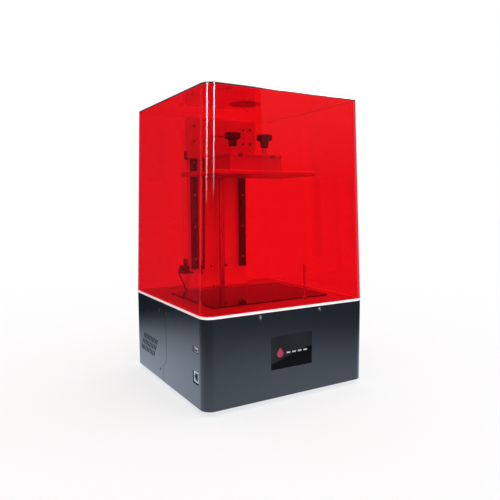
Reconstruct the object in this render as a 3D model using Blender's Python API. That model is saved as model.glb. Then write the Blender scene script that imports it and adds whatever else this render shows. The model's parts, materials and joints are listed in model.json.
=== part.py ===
# Desktop resin printer with a lift-off tinted cover, modelled as separate working pieces.
# Frame: origin on the floor under the middle of the housing, +X right, +Y back, +Z up.
# Shapes are drawn in millimetres and turned into metres when a piece is placed.

import math

import bmesh
import bpy
from mathutils import Matrix, Vector

MM = 0.001
GAP = 0.3  # clearance between pieces that sit against each other

# Housing
HALF_WIDTH = 150.0
HALF_DEPTH = 149.5
CORNER = 17.0
CORNER_STEPS = 8
WALL = 2.0
HOUSING_BOTTOM = 8.0
HOUSING_TOP = 143.0
FLANGE_WIDTH = 12.0
SEAM = [(2.0, 150.0), (2.0, 111.0), (-4.5, 104.0), (-4.0, 48.0), (12.0, 34.0), (12.0, 0.0)]
SEAM_GAP = 0.9
SIDE_SCREWS = [(26.0, 126.8), (-4.2, 126.3), (25.4, 26.2)]
FRONT_SCREWS = [(-56.4, 137.4), (55.9, 137.4)]
SCREW_HEAD_RADIUS = 3.0
SCREW_HOLE_RADIUS = 1.8
FOOT_RADIUS = 11.0
FOOT_PLACE = (127.0, 126.0)
THROUGH = 5.0  # how far a cutting tool reaches past the face it starts from
FLOOR_LOW = 10.0
FLOOR_HIGH = 12.0

# Cover and the pale band that it stands on
BAND_LOW = HOUSING_TOP + GAP
BAND_HIGH = 147.0
BAND_WIDTH = 8.0
LID_LOW = BAND_HIGH + GAP
LID_HIGH = 476.0
LID_WALL = 3.0
LID_TAPER = (10.2, 6.3, 1.5)  # how far each side, the front and the back lean in at the top
LID_EDGE = 2.0
DISC_RADIUS = 27.5
DISC_CENTRE = (-8.0, -22.0)
POCKET_DEPTH = 1.3

# Deck and exposure unit
DECK_HIGH = 147.3
GLASS_LOW = DECK_HIGH + GAP
GLASS_HIGH = 149.1
GLASS_HALF = 110.0
GLASS_FRONT = -96.5
GLASS_BACK = 60.7
UNIT_Y = (GLASS_FRONT + GLASS_BACK) / 2
PANEL_HALF = (100.0, 65.0)
BOARD_HALF = (56.0, 41.0)
CABLE_HOLE = (-73.0, 84.0)
RIGHT_POST = (59.0, -101.5)

# Column, rails and drive
SCREW_Y = 83.5
SCREW_RADIUS = 5.0
COLUMN_HALF = 63.0
COLUMN_FRONT = 96.0
COLUMN_BACK = 118.0
COLUMN_WEB = 5.0
COLUMN_SIDE = 3.0
COLUMN_HIGH = 462.0
RAIL_X = 50.0
RAIL_LOW = 184.8
RAIL_HIGH = 460.0
RAIL_FRONT = 88.0
RAIL_PITCH = 60.0
RAIL_FIRST_BORE = 18.7

# Carriage and platform, drawn at the top of their travel
PLATE_HALF = 70.5
PLATE_FRONT = 73.7
PLATE_BACK = 77.7
CARRIAGE_LOW = 389.4
CARRIAGE_HIGH = 463.0
ARM_HALF = 50.7
ARM_FRONT = -46.8
ARM_LOW = 362.5
ARM_HIGH = 390.0
TONGUE_LOW = 384.3
BRACKET_BACK = 36.5
BUILD_HALF = 100.0
BUILD_FRONT = -79.5
BUILD_BACK = 38.8
BUILD_LOW = 353.3
BUILD_HIGH = 360.0
KNOB_X = 31.5
KNOB_Y = -20.7
KNOB_LOBES = 8
KNOB_HIGH = 426.0

# Front screen, ports and rear fittings
SCREEN = (-37.6, 39.1, 52.9, 104.1)
USB_HOLE = (-129.5, -109.6, 90.5, 98.9)
USB_SHELL = (-126.8, -112.0, 91.2, 98.2)
NETWORK_HOLE = (-128.2, -109.2, 43.0, 62.0)
NETWORK_JACK = (-127.6, -111.9, 45.6, 61.7)
PORT_FACE = -149.5
FITTING_BACK = 147.2  # where the rear fittings stop, just inside the rear wall
FITTING_FACE = 149.3
INLET = (-85.0, 46.0)
SWITCH = (-85.0, 72.0)
SWITCH_PIVOT_Y = 143.0
ROCKER_TILT = 10.0
EXHAUST = (75.0, 80.0)
FAN_HALF = 25.0
FAN_THICK = 15.0


# Shape helpers

def clear_scene():
    for item in list(bpy.data.objects):
        bpy.data.objects.remove(item, do_unlink=True)


def finish(name, colour, roughness, metallic=0.0):
    made = bpy.data.materials.new(name)
    made.use_nodes = True
    shader = made.node_tree.nodes["Principled BSDF"]
    shader.inputs["Base Color"].default_value = (*colour, 1.0)
    shader.inputs["Roughness"].default_value = roughness
    shader.inputs["Metallic"].default_value = metallic
    return made


def place(u, v, along, axis):
    # A point of a flat outline (u, v) carried to its height along an axis.
    if axis == "X":
        return (along, u, v)
    if axis == "Y":
        return (u, along, v)
    return (u, v, along)


def rounded(x0, x1, y0, y1, radius, steps=CORNER_STEPS):
    # Rounded rectangle, counter-clockwise.
    corners = [
        (x1 - radius, y1 - radius, 0),
        (x0 + radius, y1 - radius, 90),
        (x0 + radius, y0 + radius, 180),
        (x1 - radius, y0 + radius, 270),
    ]
    points = []
    for centre_x, centre_y, start in corners:
        for step in range(steps + 1):
            angle = math.radians(start + 90.0 * step / steps)
            points.append((centre_x + radius * math.cos(angle), centre_y + radius * math.sin(angle)))
    return points


def circle(centre_x, centre_y, radius, steps):
    points = []
    for step in range(steps):
        angle = 2 * math.pi * step / steps
        points.append((centre_x + radius * math.cos(angle), centre_y + radius * math.sin(angle)))
    return points


def rectangle(x0, x1, y0, y1):
    return [(x0, y0), (x1, y0), (x1, y1), (x0, y1)]


def lift(outline, height, axis="Z"):
    return [place(u, v, height, axis) for u, v in outline]


def add_skin(mesh, loops, ring=False):
    # Bridges loops of equal length; the ends are capped, or joined to each other for a ring.
    rows = [[mesh.verts.new(point) for point in loop] for loop in loops]
    pairs = list(zip(rows, rows[1:]))
    if ring:
        pairs.append((rows[-1], rows[0]))
    for low, high in pairs:
        for here in range(len(low)):
            after = (here + 1) % len(low)
            mesh.faces.new((low[here], low[after], high[after], high[here]))
    if not ring:
        mesh.faces.new(rows[0])
        mesh.faces.new(rows[-1])


def add_prism(mesh, outline, low, high, axis="Z"):
    add_skin(mesh, [lift(outline, low, axis), lift(outline, high, axis)])


def add_box(mesh, x0, x1, y0, y1, z0, z1):
    add_prism(mesh, rectangle(x0, x1, y0, y1), z0, z1)


def add_turned(mesh, profile, centre=(0.0, 0.0), axis="Z", steps=24, ring=False):
    # Turned body: profile holds (radius, height along the axis).
    loops = [lift(circle(*centre, radius, steps), height, axis) for radius, height in profile]
    add_skin(mesh, loops, ring)


def turn(mesh, angle, axis, centre):
    matrix = Matrix.Rotation(math.radians(angle), 3, axis)
    bmesh.ops.rotate(mesh, verts=mesh.verts[:], cent=centre, matrix=matrix)


def piece(name, mesh, material, origin=(0.0, 0.0, 0.0)):
    # Turns a drawing in millimetres into a named object whose origin sits at a given point.
    bmesh.ops.recalc_face_normals(mesh, faces=mesh.faces[:])
    for vert in mesh.verts:
        vert.co = (vert.co - Vector(origin)) * MM
    data = bpy.data.meshes.new(name)
    mesh.to_mesh(data)
    mesh.free()
    data.materials.append(material)
    data.shade_smooth()
    data.set_sharp_from_angle(angle=math.radians(35))
    made = bpy.data.objects.new(name, data)
    made.location = Vector(origin) * MM
    bpy.context.scene.collection.objects.link(made)
    return made


def combine(target, mesh, operation):
    tool = piece("tool_for_" + target.name, mesh, TOOL)
    tool.hide_render = True
    tool.display_type = "WIRE"
    modifier = target.modifiers.new(operation.title(), "BOOLEAN")
    modifier.operation = operation
    modifier.solver = "EXACT"
    modifier.object = tool


def cut(target, mesh):
    combine(target, mesh, "DIFFERENCE")


def join(target, mesh):
    combine(target, mesh, "UNION")


# Finishes

clear_scene()
TOOL = finish("tool", (0.5, 0.5, 0.5), 0.5)
DARK_PAINT = finish("dark_paint", (0.055, 0.06, 0.07), 0.42, 0.3)
TINTED = finish("tinted_acrylic", (0.8, 0.005, 0.02), 0.08)
PALE = finish("pale_band", (0.9, 0.86, 0.87), 0.4)
RUBBER = finish("pale_rubber", (0.75, 0.75, 0.75), 0.7)
BLACK_GLASS = finish("black_glass", (0.01, 0.01, 0.012), 0.05)
BLACK = finish("black_plastic", (0.02, 0.02, 0.022), 0.4)
ALUMINIUM = finish("aluminium", (0.72, 0.73, 0.75), 0.3, 1.0)
DARK_ALUMINIUM = finish("dark_aluminium", (0.16, 0.17, 0.18), 0.4, 1.0)
STEEL = finish("steel", (0.55, 0.56, 0.58), 0.25, 1.0)
ZINC = finish("zinc_steel", (0.6, 0.61, 0.62), 0.45, 1.0)
CIRCUIT = finish("circuit_board", (0.02, 0.16, 0.06), 0.5)


# Housing

def housing_wall():
    mesh = bmesh.new()
    sections = [
        (0.0, HOUSING_BOTTOM),
        (0.0, HOUSING_TOP),
        (FLANGE_WIDTH, HOUSING_TOP),
        (FLANGE_WIDTH, HOUSING_TOP - WALL),
        (WALL, HOUSING_TOP - WALL),
        (WALL, HOUSING_BOTTOM),
    ]
    loops = [lift(housing_outline(inset), height) for inset, height in sections]
    add_skin(mesh, loops, ring=True)
    return mesh


def housing_outline(inset):
    half_x = HALF_WIDTH - inset
    half_y = HALF_DEPTH - inset
    return rounded(-half_x, half_x, -half_y, half_y, CORNER - inset)


def seam_side(towards):
    # Everything on one side of the stepped seam: towards is +1 for the back, -1 for the front.
    mesh = bmesh.new()
    line = [(y - towards * SEAM_GAP / 2, z) for y, z in SEAM]
    far = towards * 2 * HALF_DEPTH
    add_prism(mesh, line + [(far, SEAM[-1][1]), (far, SEAM[0][1])], -200.0, 200.0, "X")
    return mesh


def add_screw_hole(mesh, centre, face, axis, inward):
    # Countersunk hole through a wall.
    profile = [
        (SCREW_HEAD_RADIUS, face - inward * THROUGH),
        (SCREW_HEAD_RADIUS, face + inward * 0.3),
        (SCREW_HOLE_RADIUS, face + inward * 1.5),
        (SCREW_HOLE_RADIUS, face + inward * 9.0),
    ]
    add_turned(mesh, profile, centre, axis, 12)


def add_side_holes(mesh, behind):
    for side in (-1, 1):
        for y, z in SIDE_SCREWS:
            if (y > SEAM[0][0]) == behind:
                add_screw_hole(mesh, (y, z), side * HALF_WIDTH, "X", -side)


def make_housing():
    front = piece("housing_front", housing_wall(), DARK_PAINT)
    cut(front, seam_side(1))
    holes = bmesh.new()
    x0, x1, z0, z1 = SCREEN
    outside = -HALF_DEPTH - THROUGH
    add_box(holes, x0 - GAP, x1 + GAP, outside, -HALF_DEPTH + THROUGH, z0 - GAP, z1 + GAP)
    for y0, y1, z0, z1 in (USB_HOLE, NETWORK_HOLE):
        add_box(holes, -HALF_WIDTH - THROUGH, -HALF_WIDTH + THROUGH, y0, y1, z0, z1)
    add_side_holes(holes, False)
    for x, z in FRONT_SCREWS:
        add_screw_hole(holes, (x, z), -HALF_DEPTH, "Y", 1)
    cut(front, holes)

    rear = piece("housing_rear", housing_wall(), DARK_PAINT)
    cut(rear, seam_side(-1))
    holes = bmesh.new()
    add_side_vent(holes, -1)
    add_side_vent(holes, 1)
    add_fan_grille(holes)
    for (x, z), half_x, half_z in ((INLET, 13.8, 10.3), (SWITCH, 10.8, 7.8)):
        inside = HALF_DEPTH - THROUGH
        add_box(holes, x - half_x, x + half_x, inside, HALF_DEPTH + THROUGH, z - half_z, z + half_z)
    add_side_holes(holes, True)
    cut(rear, holes)


def add_side_vent(mesh, side):
    # Three staggered rows of slots that lean the same way as the ends of the vent.
    top = 74.0
    front = 36.0
    lean = 0.6
    pitch = 7.1
    width = 3.4
    row_height = 12.0
    slot_height = 9.6
    for row in range(3):
        high = top - row * row_height
        low = high - slot_height
        for column in range(10):
            y = front + (top - high) * lean + column * pitch
            shift = slot_height * lean
            outline = [(y, high), (y + width, high), (y + width + shift, low), (y + shift, low)]
            add_prism(mesh, outline, side * (HALF_WIDTH - THROUGH), side * (HALF_WIDTH + THROUGH), "X")


def add_fan_grille(mesh):
    x, z = EXHAUST
    reach = 22.0
    inside = HALF_DEPTH - THROUGH
    outside = HALF_DEPTH + THROUGH
    for row in range(-3, 4):
        height = row * 6.4
        half = math.sqrt(reach * reach - height * height)
        add_box(mesh, x - half, x + half, inside, outside, z + height - 2.0, z + height + 2.0)


def make_base_frame():
    floor = bmesh.new()
    inset = WALL + GAP
    outline = housing_outline(inset)
    add_prism(floor, outline, FLOOR_LOW, FLOOR_HIGH)
    plate = piece("floor_plate", floor, ZINC)
    slots = bmesh.new()
    for row in range(6):
        y = UNIT_Y - 25.0 + row * 10.0
        add_box(slots, -32.0, 32.0, y - 2.0, y + 2.0, FLOOR_LOW - 2, FLOOR_HIGH + 2)
    cut(plate, slots)
    stands = bmesh.new()
    for x in (69.0, 129.0):
        for y in (-90.0, 50.0):
            add_turned(stands, [(3.0, FLOOR_LOW + 1.0), (3.0, 19.7)], (x, y), "Z", 8)
    join(plate, stands)

    for side_x, hand in ((-1, "left"), (1, "right")):
        for side_y, end in ((-1, "front"), (1, "back")):
            feet = bmesh.new()
            centre = (side_x * FOOT_PLACE[0], side_y * FOOT_PLACE[1])
            profile = [
                (FOOT_RADIUS - 2.0, 0.0),
                (FOOT_RADIUS, 1.5),
                (FOOT_RADIUS, FLOOR_LOW - GAP),
            ]
            add_turned(feet, profile, centre, "Z", 20)
            piece("foot_" + end + "_" + hand, feet, RUBBER)

    rail = bmesh.new()
    front = -HALF_DEPTH + WALL + GAP
    add_box(rail, -120.0, 120.0, front, front + 6.2, 130.0, HOUSING_TOP - WALL - GAP)
    bars = piece("front_rail", rail, ZINC)
    holes = bmesh.new()
    for x, z in FRONT_SCREWS:
        add_turned(holes, [(1.9, front - THROUGH), (1.9, front + 10.0)], (x, z), "Y", 12)
    cut(bars, holes)

    for side, hand in ((-1, "left"), (1, "right")):
        strap = bmesh.new()
        outer = side * (HALF_WIDTH - WALL - GAP)
        inner = outer - side * 1.5
        add_box(strap, min(outer, inner), max(outer, inner), -13.0, 33.0, 18.0, 134.0)
        bracket = piece("seam_bracket_" + hand, strap, ZINC)
        holes = bmesh.new()
        for y, z in SIDE_SCREWS:
            add_turned(holes, [(1.9, outer + side * 3.0), (1.9, outer - side * THROUGH)], (y, z), "X", 12)
        cut(bracket, holes)


# Cover

def lid_outline(height, inset):
    rise = (height - LID_LOW) / (LID_HIGH - LID_LOW)
    half_x = HALF_WIDTH - LID_TAPER[0] * rise - inset
    front = -HALF_DEPTH + LID_TAPER[1] * rise + inset
    back = HALF_DEPTH - LID_TAPER[2] * rise - inset
    return rounded(-half_x, half_x, front, back, CORNER - inset)


def make_lid():
    mesh = bmesh.new()
    sections = [
        (LID_HIGH - LID_WALL, LID_WALL),
        (LID_LOW, LID_WALL),
        (LID_LOW, 0.0),
        (LID_HIGH - LID_EDGE, 0.0),
        (LID_HIGH - 0.3 * LID_EDGE, 0.3 * LID_EDGE),
        (LID_HIGH, LID_EDGE),
    ]
    loops = [lift(lid_outline(height, inset), height) for height, inset in sections]
    add_skin(mesh, loops)
    lid = piece("lid_shell", mesh, TINTED)
    pocket = bmesh.new()
    radius = DISC_RADIUS + GAP
    profile = [(radius, LID_HIGH - POCKET_DEPTH), (radius, LID_HIGH + THROUGH)]
    add_turned(pocket, profile, DISC_CENTRE, "Z", 40)
    cut(lid, pocket)

    disc = bmesh.new()
    profile = [
        (DISC_RADIUS, LID_HIGH - 1.0),
        (DISC_RADIUS, LID_HIGH - 0.3),
        (DISC_RADIUS - 0.4, LID_HIGH),
    ]
    add_turned(disc, profile, DISC_CENTRE, "Z", 40)
    piece("lid_disc", disc, BLACK)


def make_band():
    mesh = bmesh.new()
    sections = [(0.0, BAND_LOW), (0.0, BAND_HIGH), (BAND_WIDTH, BAND_HIGH), (BAND_WIDTH, BAND_LOW)]
    loops = [lift(housing_outline(inset), height) for inset, height in sections]
    add_skin(mesh, loops, ring=True)
    piece("light_band", mesh, PALE)


# Deck and exposure unit

def make_deck():
    mesh = bmesh.new()
    add_prism(mesh, housing_outline(BAND_WIDTH + GAP), BAND_LOW, DECK_HIGH)
    deck = piece("deck_plate", mesh, DARK_ALUMINIUM)
    holes = bmesh.new()
    half_x = PANEL_HALF[0] + GAP
    half_y = PANEL_HALF[1] + GAP
    add_box(holes, -half_x, half_x, UNIT_Y - half_y, UNIT_Y + half_y, 140.0, 150.0)
    add_turned(holes, [(10.0, 140.0), (10.0, 150.0)], (0.0, SCREW_Y), "Z", 24)
    add_turned(holes, [(2.1, 140.0), (2.1, 150.0)], RIGHT_POST, "Z", 12)
    add_turned(holes, [(3.5, 140.0), (3.5, 150.0)], CABLE_HOLE, "Z", 12)
    cut(deck, holes)

    glass = bmesh.new()
    outline = rounded(-GLASS_HALF, GLASS_HALF, GLASS_FRONT, GLASS_BACK, 1.0, 2)
    add_prism(glass, outline, GLASS_LOW, GLASS_HIGH)
    piece("lcd_glass", glass, BLACK_GLASS)

    panel = bmesh.new()
    x, y = PANEL_HALF
    add_box(panel, -x, x, UNIT_Y - y, UNIT_Y + y, 144.0, 147.0)
    piece("lcd_panel", panel, BLACK_GLASS)

    post = bmesh.new()
    profile = [
        (1.75, 139.0),
        (1.75, GLASS_LOW),
        (4.0, GLASS_LOW),
        (4.0, 150.0),
        (1.75, 150.0),
        (1.75, 192.0),
        (2.6, 192.5),
        (2.6, 205.0),
        (1.8, 206.0),
    ]
    add_turned(post, profile, RIGHT_POST, "Z", 16)
    piece("vat_post", post, STEEL, (*RIGHT_POST, DECK_HIGH))


def unit_loop(half_x, half_y, height):
    return lift(rectangle(-half_x, half_x, UNIT_Y - half_y, UNIT_Y + half_y), height)


def make_exposure_unit():
    funnel = bmesh.new()
    loops = [
        unit_loop(54.5, 39.5, 96.0),
        unit_loop(56.0, 41.0, 96.0),
        unit_loop(97.0, 62.0, 141.5),
        unit_loop(108.0, 73.0, 141.5),
        unit_loop(108.0, 73.0, HOUSING_TOP),
        unit_loop(96.0, 61.0, HOUSING_TOP),
    ]
    add_skin(funnel, loops, ring=True)
    piece("light_box", funnel, ALUMINIUM)

    board = bmesh.new()
    x, y = BOARD_HALF
    add_box(board, -x, x, UNIT_Y - y, UNIT_Y + y, 93.8, 95.7)
    plate = piece("led_board", board, CIRCUIT)
    lamps = bmesh.new()
    for column in range(6):
        for row in range(4):
            centre = (-42.5 + column * 17.0, UNIT_Y - 25.5 + row * 17.0)
            add_turned(lamps, [(4.0, 94.8), (4.0, 97.5), (2.2, 99.5)], centre, "Z", 8)
    join(plate, lamps)

    sink = bmesh.new()
    outline = [(-x, 93.5)]
    fins = 12
    pitch = (2 * x - 2.0) / (fins - 1)
    for fin in range(fins):
        left = -x + fin * pitch
        outline += [(left, 66.2), (left + 2.0, 66.2)]
        if fin < fins - 1:
            outline += [(left + 2.0, 88.5), (left + pitch, 88.5)]
    outline.append((x, 93.5))
    add_prism(sink, outline, UNIT_Y - y, UNIT_Y + y, "Y")
    piece("heat_sink", sink, ALUMINIUM)

    make_fan("led_fan", (0.0, UNIT_Y, 50.9), 0.0)


# Fans

def fan_drawing(mesh, centre, tilt):
    # Carries a fan drawn upright at the origin to its place, tilted about X.
    turn(mesh, tilt, "X", (0.0, 0.0, 0.0))
    bmesh.ops.translate(mesh, verts=mesh.verts[:], vec=centre)
    return mesh


def make_fan(name, centre, tilt):
    strut = 2.0
    frame = bmesh.new()
    add_prism(frame, rounded(-FAN_HALF, FAN_HALF, -FAN_HALF, FAN_HALF, 3.0, 2), 0.0, FAN_THICK)
    body = piece(name + "_frame", fan_drawing(frame, centre, tilt), BLACK)
    bore = bmesh.new()
    add_turned(bore, [(23.4, strut), (23.4, FAN_THICK + 2.0)], (0.0, 0.0), "Z", 32)
    cut(body, fan_drawing(bore, centre, tilt))
    windows = bmesh.new()
    for quarter in range(4):
        start = quarter * 90.0 + 7.0
        stop = start + 76.0
        outer = [radial(23.0, start + (stop - start) * step / 6) for step in range(7)]
        inner = [radial(10.0, stop - (stop - start) * step / 3) for step in range(4)]
        add_prism(windows, outer + inner, -2.0, strut + 1.0)
    cut(body, fan_drawing(windows, centre, tilt))

    rotor = bmesh.new()
    blades = 7
    outline = []
    for blade in range(blades):
        start = blade * 360.0 / blades
        outline += [radial(9.0, start), radial(22.6, start + 20.0), radial(22.6, start + 42.0)]
        outline += [radial(9.0, start + 27.0), radial(9.0, start + 39.0)]
    add_prism(rotor, outline, 3.0, 13.0)
    piece(name + "_rotor", fan_drawing(rotor, centre, tilt), BLACK, centre)


def radial(radius, degrees):
    angle = math.radians(degrees)
    return (radius * math.cos(angle), radius * math.sin(angle))


# Electronics

def make_electronics():
    supply = bmesh.new()
    outline = [(-80.0, 12.3), (79.0, 12.3), (79.0, 110.0), (-66.0, 110.0), (-66.0, 30.0), (-80.0, 30.0)]
    add_prism(supply, outline, -118.0, -88.0, "X")
    piece("power_supply", supply, ZINC)

    board = bmesh.new()
    add_box(board, 64.0, 134.0, -95.0, 55.0, 20.0, 21.6)
    main = piece("mainboard", board, CIRCUIT)
    parts = bmesh.new()
    blocks = [
        (84.0, 108.0, -30.0, -6.0, 5.0),
        (112.0, 128.0, -70.0, -54.0, 12.0),
        (112.0, 128.0, -44.0, -28.0, 12.0),
        (68.0, 76.0, -80.0, -40.0, 10.0),
        (86.0, 122.0, 26.0, 36.0, 10.0),
        (72.0, 82.0, 40.0, 50.0, 8.0),
    ]
    for x0, x1, y0, y1, height in blocks:
        add_box(parts, x0, x1, y0, y1, 20.8, 21.6 + height)
    join(main, parts)

    ports = bmesh.new()
    board_front = NETWORK_JACK[1] + GAP
    add_box(ports, -146.0, -111.0, board_front, board_front + 1.6, 38.0, 104.0)
    piece("port_board", ports, CIRCUIT)

    jack = bmesh.new()
    add_box(jack, PORT_FACE, PORT_FACE + 21.5, *NETWORK_JACK)
    socket = piece("ethernet_port", jack, ZINC)
    hollow = bmesh.new()
    outline = [
        (-125.6, 47.8),
        (-116.5, 47.8),
        (-116.5, 50.6),
        (-113.9, 50.6),
        (-113.9, 56.7),
        (-116.5, 56.7),
        (-116.5, 59.5),
        (-125.6, 59.5),
    ]
    add_prism(hollow, outline, PORT_FACE - THROUGH, PORT_FACE + 16.5, "X")
    cut(socket, hollow)

    shell = bmesh.new()
    add_box(shell, PORT_FACE, PORT_FACE + 18.5, *USB_SHELL)
    usb = piece("usb_port", shell, ZINC)
    hollow = bmesh.new()
    y0, y1, z0, z1 = USB_SHELL
    add_box(hollow, PORT_FACE - THROUGH, PORT_FACE + 14.5, y0 + 0.9, y1 - 0.9, z0 + 0.8, z1 - 0.8)
    cut(usb, hollow)

    x0, x1, z0, z1 = SCREEN
    glass = bmesh.new()
    add_box(glass, x0, x1, -HALF_DEPTH, -HALF_DEPTH + 1.6, z0, z1)
    piece("touch_glass", glass, BLACK_GLASS)
    module = bmesh.new()
    inside = -HALF_DEPTH + WALL + GAP
    add_box(module, x0 - 4.0, x1 + 4.0, inside, inside + 6.2, z0 - 4.0, z1 + 4.0)
    piece("display_module", module, ZINC)


def flanged_shell(centre, half, flange, back):
    # A snap-in socket body with a flange behind the rear wall; loops run from its back to its face.
    x, z = centre
    narrow = rectangle(x - half[0], x + half[0], z - half[1], z + half[1])
    wide = rectangle(x - flange[0], x + flange[0], z - flange[1], z + flange[1])
    mesh = bmesh.new()
    lip = FITTING_BACK - 3.2
    steps = [(narrow, back), (narrow, lip), (wide, lip), (wide, FITTING_BACK), (narrow, FITTING_BACK)]
    steps.append((narrow, FITTING_FACE))
    add_skin(mesh, [lift(outline, y, "Y") for outline, y in steps])
    return mesh


def make_rear_fittings():
    x, z = INLET
    inlet = flanged_shell(INLET, (13.5, 10.0), (18.0, 12.5), 125.0)
    socket = piece("power_inlet", inlet, BLACK)
    # The recess is cut in rows and columns, which leaves its three contact pins standing.
    hollow = bmesh.new()
    outline = rectangle(x - 11.5, x + 11.5, z - 7.8, z + 7.8)
    add_prism(hollow, outline, FITTING_BACK, FITTING_FACE + THROUGH, "Y")
    cut(socket, hollow)
    hollow = bmesh.new()
    bottom = 134.0
    mouth = FITTING_BACK + 0.8
    add_box(hollow, x - 11.5, x + 11.5, bottom, mouth, z + 3.0, z + 7.8)
    add_box(hollow, x - 11.5, x + 11.5, bottom, mouth, z - 7.8, z - 1.0)
    cut(socket, hollow)
    hollow = bmesh.new()
    for left, right in ((-11.5, -8.0), (-6.0, -1.0), (1.0, 6.0), (8.0, 11.5)):
        add_box(hollow, x + left, x + right, bottom, mouth, z - 1.5, z + 3.5)
    cut(socket, hollow)

    x, z = SWITCH
    body = flanged_shell(SWITCH, (10.5, 7.5), (13.0, 10.0), 129.0)
    holder = piece("switch_body", body, BLACK)
    hollow = bmesh.new()
    add_box(hollow, x - 8.2, x + 8.2, SWITCH_PIVOT_Y - 5.0, FITTING_FACE + THROUGH, z - 5.8, z + 5.8)
    cut(holder, hollow)
    rocker = bmesh.new()
    pivot = (x, SWITCH_PIVOT_Y, z)
    y = SWITCH_PIVOT_Y
    outline = [(y - 3.0, z - 3.4), (y + 5.3, z - 4.4), (y + 3.8, z), (y + 5.3, z + 4.4), (y - 3.0, z + 3.4)]
    add_prism(rocker, outline, x - 7.8, x + 7.8, "X")
    turn(rocker, ROCKER_TILT, "X", pivot)
    piece("power_rocker", rocker, BLACK, pivot)

    # Upright drawing turned so that its top faces the rear wall.
    make_fan("exhaust_fan", (EXHAUST[0], FITTING_BACK - FAN_THICK, EXHAUST[1]), -90.0)


# Column and drive

def make_column():
    outer = COLUMN_HALF
    inner = COLUMN_HALF - COLUMN_SIDE
    web = COLUMN_FRONT + COLUMN_WEB
    outline = [
        (-outer, COLUMN_FRONT),
        (outer, COLUMN_FRONT),
        (outer, COLUMN_BACK),
        (inner, COLUMN_BACK),
        (inner, web),
        (-inner, web),
        (-inner, COLUMN_BACK),
        (-outer, COLUMN_BACK),
    ]
    mesh = bmesh.new()
    add_prism(mesh, outline, GLASS_LOW, COLUMN_HIGH)
    piece("column", mesh, ALUMINIUM)

    # Half of the rail's section: its half width at each height above the rail's face.
    steps = [(6.0, 7.7), (6.0, 5.0), (4.8, 4.2), (4.8, 2.8), (6.0, 2.0), (6.0, 0.5), (5.5, 0.0)]
    half_profile = [(half, RAIL_FRONT + depth) for half, depth in steps]
    for name, centre in (("rail_left", -RAIL_X), ("rail_right", RAIL_X)):
        right = [(centre + x, y) for x, y in half_profile]
        left = [(centre - x, y) for x, y in reversed(half_profile)]
        rail = bmesh.new()
        add_prism(rail, right + left, RAIL_LOW, RAIL_HIGH)
        bar = piece(name, rail, STEEL)
        bores = bmesh.new()
        height = RAIL_LOW + RAIL_FIRST_BORE
        while height < RAIL_HIGH:
            add_turned(bores, [(3.0, RAIL_FRONT - 1.0), (3.0, RAIL_FRONT + 4.5)], (centre, height), "Y", 10)
            height += RAIL_PITCH
        cut(bar, bores)


def make_drive():
    bracket = bmesh.new()
    outline = [
        (-42.0, HOUSING_TOP),
        (-42.0, 140.5),
        (-28.0, 140.5),
        (-28.0, 112.3),
        (28.0, 112.3),
        (28.0, 140.5),
        (42.0, 140.5),
        (42.0, HOUSING_TOP),
        (25.5, HOUSING_TOP),
        (25.5, 115.3),
        (-25.5, 115.3),
        (-25.5, HOUSING_TOP),
    ]
    add_prism(bracket, outline, 60.0, 107.0, "Y")
    cradle = piece("motor_bracket", bracket, ZINC)
    hole = bmesh.new()
    centre = (0.0, SCREW_Y)
    add_turned(hole, [(11.5, 110.0), (11.5, 118.0)], centre, "Z", 24)
    cut(cradle, hole)

    motor = bmesh.new()
    half = 21.15
    add_prism(motor, rounded(-half, half, SCREW_Y - half, SCREW_Y + half, 4.0, 1), 70.0, 112.0)
    case = piece("z_motor", motor, BLACK)
    hole = bmesh.new()
    add_turned(hole, [(2.8, 98.0), (2.8, 115.0)], centre, "Z", 16)
    cut(case, hole)

    axis_point = (0.0, SCREW_Y, 0.0)
    shaft = bmesh.new()
    add_turned(shaft, [(2.5, 98.3), (2.5, 126.0)], centre, "Z", 16)
    piece("motor_shaft", shaft, STEEL, axis_point)

    coupling = bmesh.new()
    profile = [(2.8, 116.0), (9.5, 116.0), (9.5, 139.0), (4.3, 139.0), (4.3, 127.3), (2.8, 127.3)]
    add_turned(coupling, profile, centre, "Z", 24, ring=True)
    piece("shaft_coupling", coupling, ALUMINIUM, axis_point)

    bearing = bmesh.new()
    low, high = 141.5, 149.8
    profile = [(4.3, low), (9.7, low), (9.7, GLASS_LOW), (12.2, GLASS_LOW), (12.2, high), (4.3, high)]
    add_turned(bearing, profile, centre, "Z", 24, ring=True)
    piece("lower_bearing", bearing, STEEL)

    screw = bmesh.new()
    profile = [
        (4.0, 127.6),
        (4.0, 150.5),
        (SCREW_RADIUS, 150.5),
        (SCREW_RADIUS, 452.0),
        (3.0, 452.0),
        (3.0, 463.0),
    ]
    add_turned(screw, profile, centre, "Z", 24)
    piece("ball_screw", screw, STEEL, axis_point)

    block = bmesh.new()
    add_box(block, -14.0, 14.0, 78.2, COLUMN_FRONT - GAP, 455.0, COLUMN_HIGH)
    top = piece("top_bearing", block, BLACK)
    hole = bmesh.new()
    add_turned(hole, [(3.3, 450.0), (3.3, 470.0)], centre, "Z", 16)
    cut(top, hole)


# Carriage

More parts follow.
